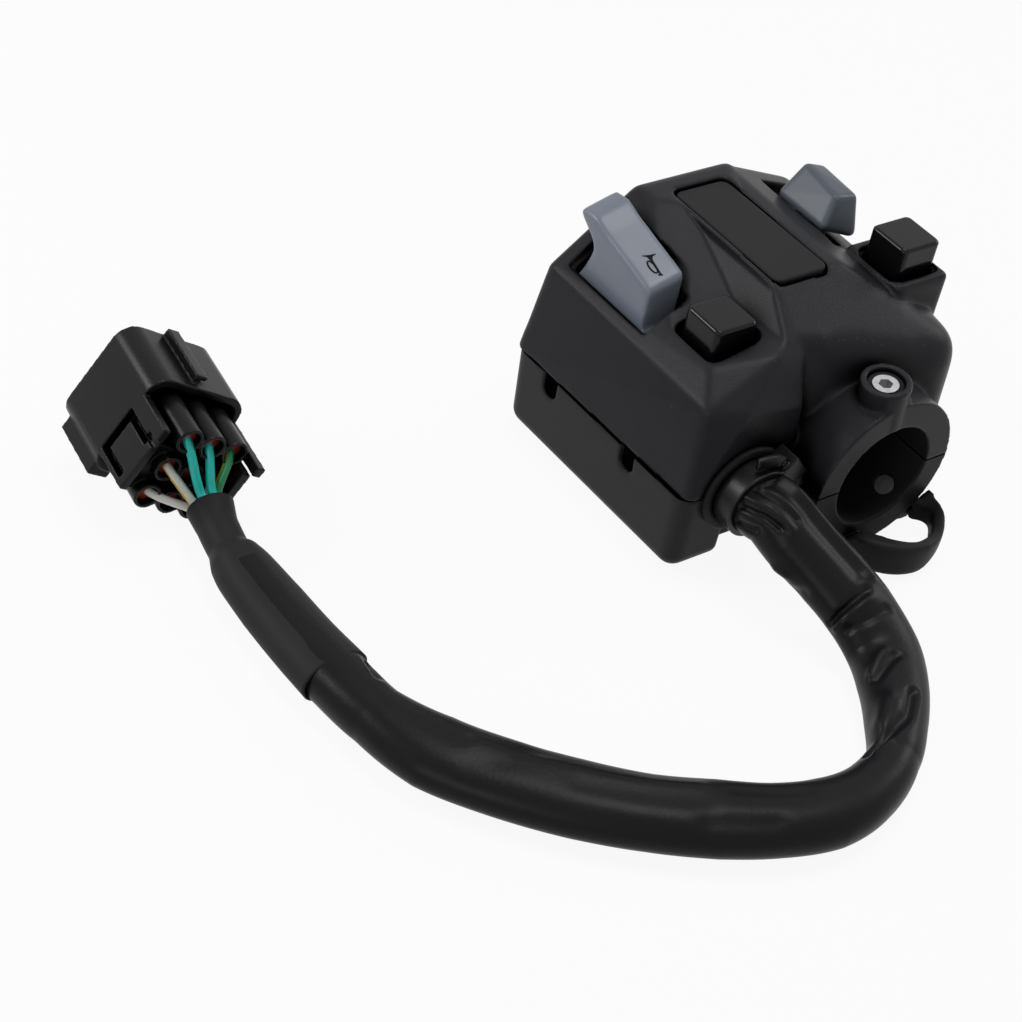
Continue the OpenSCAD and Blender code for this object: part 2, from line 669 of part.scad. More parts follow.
// Knob: a rounded wedge over the slope, with its stem in the carriage
module turn_knob() {
    bottom_left = knob_y - knob_w / 2 + 1.1;
    bottom_right = knob_y + knob_w / 2 - 1.1;
    left_z = slope_z0 - (bottom_left - slope_y0) * slope_drop + 1;
    right_z = slope_z0 - (bottom_right - slope_y0) * slope_drop + 1;
    top_z = left_z + knob_h - 2.4;
    x = knob_len / 2 - 1.1;
    color([0.34, 0.36, 0.4]) translate([turn_x, 0, 0]) {
        pebble([[-x, bottom_left, left_z, 1.1], [x, bottom_left, left_z, 1.1],
            [-x, bottom_right, right_z, 1.1], [x, bottom_right, right_z, 1.1],
            [-x + 0.6, bottom_left + 4, top_z, 1.1], [x - 1.6, bottom_left + 3, top_z - 0.8, 1.1],
            [-x + 1, bottom_right - 0.4, top_z - 1, 1.1],
            [x - 1.6, bottom_right - 0.4, top_z - 1.6, 1.1]]);
        translate([0, turn_y, carriage_top - 1.4]) linear_extrude(left_z - carriage_top + 1.4)
            square(stem_w, center = true);
    }
}

module turn_spring() {
    color("silver") translate([turn_x, turn_y, carriage_z + 1.5])
        tube(coil(1.8, carriage_size.z - 1.4 - 1.2 - 0.6, 1.5), 0.18, 6);
}

// Contact strips on the turn base, one under each end of the travel
module turn_contacts() {
    color([0.7, 0.5, 0.25]) for (s = [-1, 1])
        translate([turn_x + s * (carriage_size.x / 2 + knob_travel + 0.7), turn_y, shelf_z + turn_base_t])
            linear_extrude(1.4) square([0.6, carriage_size.y - 1], center = true);
}

// Tags under the board where the leads are soldered
tag_x = board_x[1] - 11;
tag_y = [for (i = [0:3]) board_y[0] + 3.6 + 1.5 * i];

module solder_tags() {
    color([0.75, 0.72, 0.6]) for (y = tag_y) translate([tag_x, y, board_z - 1.2])
        cylinder(d = 1.2, h = 1.2);
}

// Leads from the cable's end to the tags, side by side
module inner_leads() {
    color([0.2, 0.6, 0.55]) for (i = [0:3]) {
        start = [inner_front_x + 3.4, exit_y - 2.8 + 1.5 * i, 0];
        tip = [tag_x, tag_y[i], board_z - 1.2];
        tube(bend_path(start, [-5, 0, -3], tip, [0, 0, 3]), wire_d / 2 - 0.3, 6, [0, 1, 0]);
    }
}

// Rubber sleeve in the exit, with a collar outside it
module cable_grommet() {
    color([0.03, 0.03, 0.03]) translate([0, exit_y, 0]) rotate([0, 90, 0]) difference() {
        union() {
            translate([0, 0, inner_front_x + 1.6])
                cylinder(r = exit_r - fit, h = front_x - inner_front_x - 1.6);
            translate([0, 0, front_x]) cylinder(r = exit_r + 0.9, h = 0.9);
        }
        translate([0, 0, inner_front_x + 3.2]) cylinder(d = cable_d + 2 * fit, h = 20);
        translate([0, 0, inner_front_x]) cylinder(d = cable_d - 3.4, h = 20);
    }
}

// Nylon tie round the cable where it leaves the grommet, with its head and cut tail
module cable_tie() {
    r = cable_d / 2 + 0.1;
    color([0.02, 0.02, 0.02]) translate([front_x + 1.2, exit_y, 0]) rotate([0, 90, 0]) {
        rotate_extrude() translate([r, 0]) square([1.2, 4.6]);
        rotate([0, 0, 130]) translate([r + 0.4, -2.6, -0.2]) cube([4.2, 5.2, 5]);
        rotate([0, 0, 130]) translate([r + 1.4, -4.6, 1]) cube([1.2, 8.4, 3]);
    }
}

module cable_sheath() {
    flat = [for (i = [0:len(sheath_route) - 1]) min(max((i - 2) / 4, 0), 1)];
    color([0.06, 0.06, 0.065]) tube(sheath_route, [for (i = [0:len(flat) - 1]) let (f = flat[i])
        [cable_d / 2 + (i < 2 ? 0 : 0.4) + f * 0.4, lerp(cable_d, cable_h, f) / 2]], 12);
}

module shrink_sleeve() {
    color([0.05, 0.05, 0.055]) tube(sleeve_route,
        [for (k = sleeve_size) [k * (cable_d / 2 + 0.8),
        k < 0.9 ? k * cable_d / 2 * 0.94 : min(k, 1) * cable_h / 2]], 12);
}

// Place children in the connector's frame: X out of the wire end, Z up
module at_plug() {
    translate([plug_at.x, plug_at.y, plug_z]) rotate([0, 0, plug_yaw]) rotate([0, plug_dip, 0])
        rotate([plug_roll, 0, 0]) children();
}

// The same placing for a point
function plug_point(p) =
    let (y = p.y * cos(plug_roll) - p.z * sin(plug_roll), w = p.y * sin(plug_roll) + p.z * cos(plug_roll))
    let (x = p.x * cos(plug_dip) + w * sin(plug_dip), z = w * cos(plug_dip) - p.x * sin(plug_dip))
    [plug_at.x + x * cos(plug_yaw) - y * sin(plug_yaw), plug_at.y + x * sin(plug_yaw) + y * cos(plug_yaw),
        plug_z + z];

// Middle of a wire way
function way_at(col, row) = [way_cols[col] * way_pitch + way_shift, way_rows[row]];

module each_way() {
    for (c = [0:2], r = [0:2]) translate([0, way_at(c, r).x, way_at(c, r).y]) children();
}

module hood_outline(inset = 0) {
    soft_square(plug_w - 2 * inset, plug_h - 2 * inset, plug_corner - inset);
}

// Hooded housing: the mating hood in front, the block of wire ways behind, latch rails outside
module connector_housing() {
    half_w = plug_w / 2;
    half_h = plug_h / 2;
    mid = -plug_len / 2;
    color([0.045, 0.045, 0.05]) at_plug() difference() {
        union() {
            along_x(-plug_len, 0) hood_outline();
            // Left wall runs on behind the hood to the block of the lower ways
            block([mid, -half_w, -half_h + 3.4], [way_end - 0.6, -half_w + plug_wall, half_h - 4.4]);
            block([mid, -half_w, -1.4 - way_r], [way_end - 2, half_w - 3.4, 0.6 + way_r]);
            block([mid, -half_w + 0.6, way_rows[2] - 0.4], [way_end - 2, half_w - 3.4, 0]);
            each_way() bar(way_r + way_wall, mid, way_end);
            // Latch rail on top, and the lock arm on the right
            block([-plug_len + 0.6, -2.4, half_h - 1], [-1.4, -0.9, half_h + 1.8]);
            block([-plug_len + 0.6, -2.4, half_h + 0.9], [-1.4, 0.2, half_h + 1.8]);
            block([mid, half_w - 2.6, -3.4], [way_end + 1.8, half_w - 0.6, 3.6]);
            block([mid, half_w - 2, 4.6], [way_end + 3.4, half_w - 0.2, 6.6]);
            block([-plug_len + 2, 1.2 - half_w, -half_h - 1.8], [-0.6, 5.6 - half_w, 1 - half_h]);
        }
        // Mating room in front and the open back of the hood
        along_x(-plug_len - 1, mid - 1) hood_outline(plug_wall);
        difference() {
            along_x(mid + 1.6, 0.1) hood_outline(plug_wall);
            block([mid, -half_w, -1.4 - way_r], [1, half_w - 3.4, 0.6 + way_r]);
            block([mid, -half_w, way_rows[2] - 0.4], [1, half_w - 3.4, 0]);
            block([mid, half_w - 2.6, -3.4], [1, half_w, 3.6]);
            each_way() bar(way_r + way_wall, mid, 1);
        }
        each_way() bar(way_r, way_end - way_deep, way_end + 1);
        each_way() bar(0.7, mid - 2, way_end);
        // Window round the lock tongue, on the left side
        difference() {
            block([-0.6, -half_w - 1, -half_h + 4.4], [way_end - 2.4, -half_w + plug_wall + 0.2, 3]);
            block([1.2, -half_w - 1, -half_h + 6], [way_end - 2.4, -half_w + plug_wall + 1, 1.4]);
        }
        block([way_end - 3.4, -half_w - 1, half_h - 8.6], [way_end, -half_w + 0.7, half_h - 7.2]);
    }
}

// Plate across the ways that holds the terminals in
module terminal_lock() {
    color([0.12, 0.12, 0.13]) at_plug() difference() {
        translate([-plug_len / 2 - 2.6, 0, 0]) along_x(0, 1.6) hood_outline(plug_wall + 0.1);
        each_way() bar(0.9, -plug_len, 10);
    }
}

module wire_seals() {
    color([0.45, 0.06, 0.04]) at_plug() each_way() difference() {
        bar(way_r - 0.02, way_end - way_deep, way_end - way_deep + seal_len);
        bar(wire_d / 2 + 0.02, -20, 20);
    }
}

module connector_pins() {
    color("silver") at_plug() each_way() bar(0.68, 2.5 - plug_len, 3 - plug_len / 2);
}

// One wire from the sleeve's mouth into its way
module lead(col, row, angle, bow) {
    mouth = sleeve_route[len(sleeve_route) - 1] + [0, 2 * cos(angle), 2 * sin(angle)];
    y = way_at(col, row).x;
    z = way_at(col, row).y;
    inside = plug_point([way_end - way_deep, y, z]);
    outside = plug_point([way_end - way_deep + seal_len + 1, y, z]);
    axis = unit(outside - inside);
    run = bend_path(outside, axis * bow, mouth, [bow * 0.8, 0, 0], 6);
    tube(concat([inside], run), wire_d / 2, 8);
}

module wires_teal() {
    color([0.05, 0.62, 0.55]) {
        lead(0, 0, 120, 6);
        lead(1, 0, 60, 5);
    }
}

module wire_green() {
    color([0.1, 0.5, 0.2]) lead(2, 0, 0, 6);
}

module wires_white() {
    color("white") {
        lead(0, 1, 180, 5);
        lead(0, 2, 240, 5);
        lead(2, 1, 300, 5);
    }
}

upper_shell();
lower_shell();
blank_panel();
collar_screws();
screw_ring();
clamp_screws();
shell_screws();
contact_board();
board_screws();
horn_key();
horn_pin();
horn_spring();
horn_contact();
mode_button();
mode_spring();
mode_switch();
beam_button();
beam_spring();
beam_switch();
turn_base();
turn_carriage();
turn_knob();
turn_spring();
turn_contacts();
solder_tags();
inner_leads();
cable_grommet();
cable_tie();
cable_sheath();
shrink_sleeve();
wires_teal();
wire_green();
wires_white();
connector_housing();
terminal_lock();
wire_seals();
connector_pins();
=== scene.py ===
# Handlebar switch cluster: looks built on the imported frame, in metres
import math

import bmesh
import bpy
import numpy as np
from mathutils import Matrix, Vector
from mathutils.bvhtree import BVHTree


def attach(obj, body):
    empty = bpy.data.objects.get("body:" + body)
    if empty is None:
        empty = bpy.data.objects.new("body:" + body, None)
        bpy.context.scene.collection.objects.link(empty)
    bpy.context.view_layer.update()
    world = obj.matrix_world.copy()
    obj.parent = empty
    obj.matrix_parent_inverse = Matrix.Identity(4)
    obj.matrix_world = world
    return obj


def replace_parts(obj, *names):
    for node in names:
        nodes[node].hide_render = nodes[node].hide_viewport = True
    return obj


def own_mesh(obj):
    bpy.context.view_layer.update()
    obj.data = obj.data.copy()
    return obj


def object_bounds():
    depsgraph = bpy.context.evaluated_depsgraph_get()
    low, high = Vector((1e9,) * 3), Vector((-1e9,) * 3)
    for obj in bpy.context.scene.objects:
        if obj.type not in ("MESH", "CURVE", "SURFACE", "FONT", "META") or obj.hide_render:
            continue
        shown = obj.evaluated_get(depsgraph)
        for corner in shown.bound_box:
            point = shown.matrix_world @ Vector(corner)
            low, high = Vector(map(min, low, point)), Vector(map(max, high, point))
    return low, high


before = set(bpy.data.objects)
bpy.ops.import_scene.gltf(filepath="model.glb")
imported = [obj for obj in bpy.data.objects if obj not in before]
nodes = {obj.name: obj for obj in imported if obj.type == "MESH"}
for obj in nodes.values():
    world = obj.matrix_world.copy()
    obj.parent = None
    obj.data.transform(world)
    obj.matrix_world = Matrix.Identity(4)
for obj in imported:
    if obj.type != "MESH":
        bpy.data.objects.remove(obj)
cadLow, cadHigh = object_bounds()
toMetres = Matrix.Scale(0.001, 4)  # for shapes written in millimetres
print("frame loaded,", len(nodes), "nodes")


# Camera
eye = {
    "place": (0.197756, -0.270783, 0.250455),
    "right": (0.5640612, 0.8113885, 0.1532439),
    "down": (0.6019897, -0.2770493, -0.7489007),
    "forward": (-0.5651933, 0.514677, -0.6447202),
    "lens": 77.5,
    "sensor": 36,
    "clip": (0.01, 20),
}


def placeCamera(eye):
    data = bpy.data.cameras.new("camera")
    data.lens, data.sensor_width = eye["lens"], eye["sensor"]
    data.clip_start, data.clip_end = eye["clip"]
    made = bpy.data.objects.new("camera", data)
    bpy.context.collection.objects.link(made)
    columns = [Vector(eye["right"]), -Vector(eye["down"]), -Vector(eye["forward"])]
    turn = Matrix(columns).transposed().to_4x4()
    made.matrix_world = Matrix.Translation(eye["place"]) @ turn
    bpy.context.scene.camera = made


placeCamera(eye)
print("camera placed")


# A socket in a node tree, so that shader maths reads as Python
class Wire:
    def __init__(self, tree, socket=None):
        self.tree, self.socket = tree, socket

    def make(self, kind, settings={}, sockets={}, out=0):
        made = self.tree.nodes.new("ShaderNode" + kind)
        for name, value in settings.items():
            if name == "stops":  # a ramp's places and grey values
                ramp = made.color_ramp
                while len(ramp.elements) < len(value):
                    ramp.elements.new(0.5)
                for stop, (place, grey) in zip(ramp.elements, value):
                    stop.position, stop.color = place, (grey, grey, grey, 1)
            else:
                setattr(made, name, value)
        for name, value in sockets.items():
            if isinstance(value, Wire):
                self.tree.links.new(value.socket, made.inputs[name])
            else:
                made.inputs[name].default_value = value
        return Wire(self.tree, made.outputs[out])

    def maths(self, operation, a, b):
        return self.make("Math", {"operation": operation}, {0: a, 1: b})

    def __add__(self, other):
        return self.maths("ADD", self, other)

    def __radd__(self, other):
        return self.maths("ADD", other, self)

    def __sub__(self, other):
        return self.maths("SUBTRACT", self, other)

    def __mul__(self, other):
        return self.maths("MULTIPLY", self, other)

    def __gt__(self, other):
        return self.maths("GREATER_THAN", self, other)

    def __lt__(self, other):
        return self.maths("LESS_THAN", self, other)


def rgba(colour):
    return (*colour, 1.0)


# Soft studio light over a pale floor that the camera sees as white
studio = {
    "ambient": 0.12,
    "floorGap": 0.0001,
    "floorReach": 4,
    "floorGrey": 0.86,
    "floorGlow": 0.92,  # share of plain white where the floor is seen directly
    "lamps": [  # place, aim, width, watts
        ((-0.06, 0.06, 0.66), (-0.02, -0.03, 0.0), 0.30, 1.8),
        ((0.24, -0.60, 0.20), (-0.02, -0.05, 0.0), 0.30, 0.6),
        ((0.02, 0.60, 0.38), (-0.02, -0.03, 0.0), 0.26, 0.9),
        ((-0.42, -0.50, 0.36), (-0.03, -0.03, 0.01), 0.24, 1.9),
    ],
}


def seenDirectly(wire):
    rays = [wire.make("LightPath", out=n) for n in (0, 3, 6)]  # camera, glossy, transmission
    return wire.maths("MAXIMUM", wire.maths("MAXIMUM", rays[0], rays[1]), rays[2])


def lightStudio(studio):
    scene = bpy.context.scene
    scene.view_settings.view_transform = "Standard"
    world = bpy.data.worlds.new("studio")
    world.use_nodes = True
    scene.world = world
    wire = Wire(world.node_tree)
    seen = seenDirectly(wire)
    back = world.node_tree.nodes["Background"]
    back.inputs["Color"].default_value = (1, 1, 1, 1)
    level = seen * (1 - studio["ambient"]) + studio["ambient"]
    world.node_tree.links.new(level.socket, back.inputs["Strength"])

    for n, (place, aim, width, watts) in enumerate(studio["lamps"]):
        data = bpy.data.lights.new(f"lamp{n}", "AREA")
        data.size, data.energy = width, watts
        lamp = bpy.data.objects.new(f"lamp{n}", data)
        bpy.context.collection.objects.link(lamp)
        lamp.location = place
        lamp.rotation_euler = (Vector(aim) - Vector(place)).to_track_quat("-Z", "Y").to_euler()

    mesh = bpy.data.meshes.new("floor")
    z, far, grey = cadLow.z - studio["floorGap"], studio["floorReach"], studio["floorGrey"]
    mesh.from_pydata([(-far, -far, z), (far, -far, z), (far, far, z), (-far, far, z)], [], [(0, 1, 2, 3)])
    floor = bpy.data.objects.new("floor", mesh)
    bpy.context.collection.objects.link(floor)
    paint = bpy.data.materials.new("paleFloor")
    paint.use_nodes = True
    tree = paint.node_tree
    tree.nodes.remove(tree.nodes["Principled BSDF"])
    wire = Wire(tree)
    matt = wire.make("BsdfDiffuse", {}, {"Color": (grey, grey, grey, 1)})
    glow = wire.make("Emission", {}, {"Color": (1, 1, 1, 1), "Strength": 1.0})
    share = seenDirectly(wire) * studio["floorGlow"]
    mixed = wire.make("MixShader", {}, {0: share, 1: matt, 2: glow})
    tree.links.new(mixed.socket, tree.nodes["Material Output"].inputs["Surface"])
    mesh.materials.append(paint)


lightStudio(studio)
print("studio lit")


# Finishes: colour and lighter colour of worn edges, roughness and its spread, grain size and depth,
# and where given how strongly painted shade darkens recesses, whether other pieces count in that, and the
# parting gap
finishes = {
    "grainedBlack": dict(colour=(0.022, 0.022, 0.025), worn=(0.085, 0.085, 0.09), rough=0.33, spread=0.12,
                         grain=0.00028, depth=0.00004, edge=0.4, lint=0.4, specular=0.09,
                         paintedShade=1.0, near=True, seam=0.0002),
    "lowerBlack": dict(colour=(0.03, 0.028, 0.0295), worn=(0.07, 0.068, 0.068), rough=0.4, spread=0.1,
                       grain=0.0002, depth=0.00002, edge=0.35, lint=0.2, specular=0.06,
                       paintedShade=1.0, seam=0.0002),
    "panelBlack": dict(colour=(0.02, 0.0192, 0.02), worn=(0.03, 0.03, 0.032), rough=0.42, spread=0.06,
                       grain=0.00015, depth=0.00001, edge=0.2, lint=0.15, specular=0.07,
                       paintedShade=1.0, near=True),
    "keyGrey": dict(colour=(0.18, 0.202, 0.25), worn=(0.45, 0.48, 0.53), rough=0.3, spread=0.08,
                    grain=0.00022, depth=0.000012, edge=0.12, lint=0.0, specular=0.3),
    "knobGrey": dict(colour=(0.095, 0.11, 0.132), worn=(0.35, 0.37, 0.4), rough=0.32, spread=0.08,
                     grain=0.0004, depth=0.000008, edge=0.3, lint=0.0, specular=0.18),
    "glossBlack": dict(colour=(0.005, 0.005, 0.0053), worn=(0.02, 0.02, 0.021), rough=0.1, spread=0.05,
                       grain=0.0006, depth=0.000004, edge=0.2, lint=0.1, specular=0.18,
                       paintedShade=1.0, near=True),
    "darkPlastic": dict(colour=(0.02, 0.02, 0.022), worn=(0.05, 0.05, 0.055), rough=0.45, spread=0.08,
                        grain=0.0002, depth=0.00001, edge=0.2, lint=0.0, specular=0.4),
    "connectorBlack": dict(colour=(0.01, 0.01, 0.0112), worn=(0.06, 0.06, 0.064), rough=0.27, spread=0.1,
                           grain=0.0004, depth=0.000012, edge=0.3, lint=0.15, specular=0.13, paintedShade=1.0),
    "rubberBlack": dict(colour=(0.009, 0.009, 0.009), worn=(0.03, 0.03, 0.03), rough=0.55, spread=0.1,
                        grain=0.0003, depth=0.00002, edge=0.3, lint=0.2, specular=0.1),
    "tieNylon": dict(colour=(0.008, 0.008, 0.008), worn=(0.04, 0.04, 0.04), rough=0.32, spread=0.08,
                     grain=0.0004, depth=0.00001, edge=0.3, lint=0.0, specular=0.2),
    "sheathVinyl": dict(colour=(0.0055, 0.0055, 0.0066), worn=(0.02, 0.02, 0.021), rough=0.35, spread=0.1,
                        grain=0.0009, depth=0.00004, edge=0.1, lint=0.35, specular=0.115),
    "sleeveShrink": dict(colour=(0.026, 0.0254, 0.0266), worn=(0.03, 0.03, 0.032), rough=0.5, spread=0.1,
                         grain=0.0005, depth=0.00004, edge=0.2, lint=0.35, specular=0.06),
    "boardBrown": dict(colour=(0.075, 0.03, 0.012), worn=(0.12, 0.06, 0.03), rough=0.5, spread=0.1,
                       grain=0.0004, depth=0.00002, edge=0.2, lint=0.0, specular=0.4),
    "sealRed": dict(colour=(0.32, 0.03, 0.015), worn=(0.3, 0.05, 0.03), rough=0.5, spread=0.1,
                    grain=0.0003, depth=0.00002, edge=0.2, lint=0.0, specular=0.3),
    "wireTeal": dict(colour=(0.01, 0.6, 0.53), worn=(0.03, 0.5, 0.42), rough=0.34, spread=0.08,
                     grain=0.0006, depth=0.00001, edge=0.1, lint=0.1, specular=0.45),
    "wireGreen": dict(colour=(0.008, 0.26, 0.09), worn=(0.03, 0.3, 0.1), rough=0.34, spread=0.08,
                      grain=0.0006, depth=0.00001, edge=0.1, lint=0.0, specular=0.45),
    "wireWhite": dict(colour=(0.75, 0.74, 0.68), worn=(0.85, 0.85, 0.8), rough=0.36, spread=0.08,
                      grain=0.0006, depth=0.00001, edge=0.1, lint=0.0, specular=0.45),
    "stripeYellow": dict(colour=(0.66, 0.43, 0.02), worn=(0.65, 0.42, 0.05), rough=0.4, spread=0.08,
                         grain=0.0006, depth=0.00001, edge=0.1, lint=0.0, specular=0.45),
    "stripeLime": dict(colour=(0.5, 0.56, 0.02), worn=(0.5, 0.55, 0.05), rough=0.4, spread=0.08,
                       grain=0.0006, depth=0.00001, edge=0.1, lint=0.0, specular=0.45),
    "stripeViolet": dict(colour=(0.12, 0.02, 0.25), worn=(0.2, 0.05, 0.3), rough=0.4, spread=0.08,
                         grain=0.0006, depth=0.00001, edge=0.1, lint=0.0, specular=0.45),
    "signBlack": dict(colour=(0.006, 0.006, 0.007), worn=(0.02, 0.02, 0.02), rough=0.5, spread=0.08,
                      grain=0.0003, depth=0.000004, edge=0.1, lint=0.0, specular=0.08),
}
metals = {
    "zincSteel": dict(colour=(0.62, 0.62, 0.63), dull=(0.42, 0.42, 0.43),
                      rough=0.26, spread=0.2, scratch=0.00005),
    "screwSteel": dict(colour=(0.52, 0.52, 0.53), dull=(0.32, 0.32, 0.33),
                       rough=0.4, spread=0.2, scratch=0.00006),
    "blackSteel": dict(colour=(0.09, 0.09, 0.095), dull=(0.05, 0.05, 0.053),
                       rough=0.4, spread=0.2, scratch=0.00006),
    "springSteel": dict(colour=(0.5, 0.5, 0.51), dull=(0.3, 0.3, 0.31),
                        rough=0.3, spread=0.15, scratch=0.00008),
    "bronze": dict(colour=(0.6, 0.36, 0.13), dull=(0.4, 0.22, 0.08),
                   rough=0.32, spread=0.15, scratch=0.00008),
    "tin": dict(colour=(0.66, 0.65, 0.6), dull=(0.45, 0.44, 0.4), rough=0.36, spread=0.2, scratch=0.0001),
}
texture = {  # scales per metre of the clouds, the lint and its choice, and the clouds on metal
    "cloud": 90.0, "lint": 420.0, "choice": 140.0, "metal": 700.0, "dust": (0.2, 0.2, 0.21),
}
recessShade = {  # reach of a narrow gap and of a wide bay, with the ramps that paint shade into them, and the black of that painted shade
    "gap": 0.006, "gapStops": [(0.42, 1), (0.84, 0)],
    "bay": 0.03, "bayStops": [(0.4, 0.9), (0.72, 0)],
    "samples": 6, "black": (0.0012, 0.0012, 0.0013),
}
made = {}


def startMaterial(name, fixed):
    material = bpy.data.materials.new(name)
    material.use_nodes = True
    shader = material.node_tree.nodes["Principled BSDF"]
    for socket, value in fixed.items():
        shader.inputs[socket].default_value = value
    made[name] = material
    return Wire(material.node_tree), shader


def feed(wire, shader, links):
    for socket, value in links.items():
        wire.tree.links.new(value.socket, shader.inputs[socket])


def plasticFinish(name, f):
    wire, shader = startMaterial(name, {"Specular IOR Level": f["specular"]})
    place = wire.make("TexCoord", out=3)
    grain = wire.make("TexNoise", {}, {"Vector": place, "Scale": 1 / f["grain"], "Detail": 3.0,
                                       "Roughness": 0.6})
    cloud = wire.make("TexNoise", {}, {"Vector": place, "Scale": texture["cloud"], "Detail": 4.0,
                                       "Roughness": 0.55})
    corner = wire.make("NewGeometry", out=7)  # pointiness, high on outer edges
    edge = wire.make("ValToRGB", {"stops": [(0.57, 0), (0.7, 1)]}, {0: corner}) * f["edge"]
    rub = edge * (0.35 + cloud)
    speck = wire.make("TexVoronoi", {}, {"Vector": place, "Scale": texture["lint"], "Randomness": 1.0})
    pick = wire.make("TexNoise", {}, {"Vector": place, "Scale": texture["choice"], "Detail": 0.0})
    lint = (speck < 0.028) * (pick > 0.56) * f["lint"]
    shade = wire.make("Mix", {"data_type": "RGBA"}, {0: cloud, 6: rgba([0.86 * c for c in f["colour"]]),
                                                     7: rgba([1.14 * c for c in f["colour"]])}, out=2)
    worn = wire.make("Mix", {"data_type": "RGBA"}, {0: rub, 6: shade, 7: rgba(f["worn"])}, out=2)
    dusty = wire.make("Mix", {"data_type": "RGBA"}, {0: lint, 6: worn, 7: rgba(texture["dust"])}, out=2)
    rough = (cloud - 0.5) * f["spread"] + (grain - 0.5) * (0.5 * f["spread"]) + f["rough"]
    bump = wire.make("Bump", {}, {"Height": grain, "Distance": f["depth"], "Strength": 1.0})
    feed(wire, shader, {"Base Color": dusty, "Roughness": rough, "Normal": bump})
    if "paintedShade" in f:  # painted shade: recesses of the same moulding are darkened by ambient occlusion
        close = {"samples": recessShade["samples"], "only_local": not f.get("near", False)}
        local = {"samples": recessShade["samples"], "only_local": True}
        gap = wire.make("AmbientOcclusion", close, {"Distance": recessShade["gap"]}, out=1)
        bay = wire.make("AmbientOcclusion", local, {"Distance": recessShade["bay"]}, out=1)
        tight = wire.make("ValToRGB", {"stops": recessShade["gapStops"]}, {0: gap})
        wide = wire.make("ValToRGB", {"stops": recessShade["bayStops"]}, {0: bay})
        share = wire.maths("MAXIMUM", tight, wide) * f["paintedShade"]
        if "seam" in f:  # open gap along the parting line
            level = wire.make("SeparateXYZ", {}, {0: place}, out=2)
            share = wire.maths("MAXIMUM", share, (level > -f["seam"]) * (level < f["seam"]))
            # painted shade inside the pry notches, read from the shade attribute
            painted = wire.make("Attribute", {"attribute_name": "shade"}, out=2)
            share = wire.maths("MAXIMUM", share, painted)
        # painted shadow: a dull black mixed in where the recesses lie in shade
        dull = wire.make("BsdfDiffuse", {}, {"Color": rgba(recessShade["black"])})
        mixed = wire.make("MixShader", {}, {0: share, 1: Wire(wire.tree, shader.outputs[0]), 2: dull})
        wire.tree.links.new(mixed.socket, wire.tree.nodes["Material Output"].inputs["Surface"])


def metalFinish(name, f):
    wire, shader = startMaterial(name, {"Metallic": 1.0})
    place = wire.make("TexCoord", out=3)
    scratch = wire.make("TexNoise", {}, {"Vector": place, "Scale": 1 / f["scratch"], "Detail": 2.0})
    cloud = wire.make("TexNoise", {}, {"Vector": place, "Scale": texture["metal"], "Detail": 4.0})
    tint = wire.make("Mix", {"data_type": "RGBA"},
                     {0: cloud, 6: rgba(f["dull"]), 7: rgba(f["colour"])}, out=2)
    rough = (cloud - 0.5) * f["spread"] + (scratch - 0.5) * f["spread"] + f["rough"]
    bump = wire.make("Bump", {}, {"Height": scratch, "Distance": 0.000006, "Strength": 1.0})
    feed(wire, shader, {"Base Color": tint, "Roughness": rough, "Normal": bump})


for name, f in finishes.items():
    plasticFinish(name, f)
for name, f in metals.items():
    metalFinish(name, f)
print("finishes made,", len(made))


def addPiece(name, mesh, finish, body="housing"):
    piece = bpy.data.objects.new(name, mesh)
    bpy.context.collection.objects.link(piece)
    if mesh.materials:
        mesh.materials.clear()
    for f in [finish] if isinstance(finish, str) else finish:
        mesh.materials.append(made[f])
    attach(piece, body)
    return piece


def smoothShade(mesh):
    mesh.polygons.foreach_set("use_smooth", [True] * len(mesh.polygons))


# Smooth line through points, with the parameter of each point kept for sizes
def softLine(points, steps):
    p = np.array(points, float)
    p = np.vstack([2 * p[0] - p[1], p, 2 * p[-1] - p[-2]])
    line, place = [], []
    for i in range(1, len(p) - 2):
        for k in range(steps):
            t = k / steps
            a, b, c, d = p[i - 1], p[i], p[i + 1], p[i + 2]
            line.append(0.5 * (2 * b + (c - a) * t + (2 * a - 5 * b + 4 * c - d) * t * t
                               + (3 * b - a - 3 * c + d) * t ** 3))
            place.append(i - 1 + t)
    return np.vstack([line, p[-2]]), np.array(place + [len(points) - 1.0])


# Tube along a line; ring(n, angles) gives the offsets across and up, order the line's points that get a ring
def sweep(name, line, ring, sides, up=(0, 0, 1), stripes=(), order=None):
    mesh = bpy.data.meshes.new(name)
    verts, faces, slots = [], [], []
    order = list(order or range(len(line)))
    angles = 2 * math.pi * np.arange(sides) / sides - math.pi / 2
    for n, i in enumerate(order):
        ahead = line[min(i + 1, len(line) - 1)] - line[max(i - 1, 0)]
        across = np.cross(ahead, up)
        across = across / np.linalg.norm(across)
        lift = np.cross(across, ahead / np.linalg.norm(ahead))
        a, b = ring(n, angles)
        verts.extend(line[i] + np.outer(a, across) + np.outer(b, lift))
    for i in range(len(order) - 1):
        for k in range(sides):
            n = (k + 1) % sides
            faces.append((i * sides + k, i * sides + n, (i + 1) * sides + n, (i + 1) * sides + k))
            slots.append(next((s + 1 for s, (lo, hi) in enumerate(stripes) if lo <= k < hi), 0))
    for i, turn in ((0, -1), (len(order) - 1, 1)):
        faces.append([i * sides + k for k in range(sides)][::turn])
        slots.append(0)
    mesh.from_pydata([tuple(v) for v in verts], [], faces)
    mesh.polygons.foreach_set("material_index", slots)
    smoothShade(mesh)
    mesh.update()
    return mesh


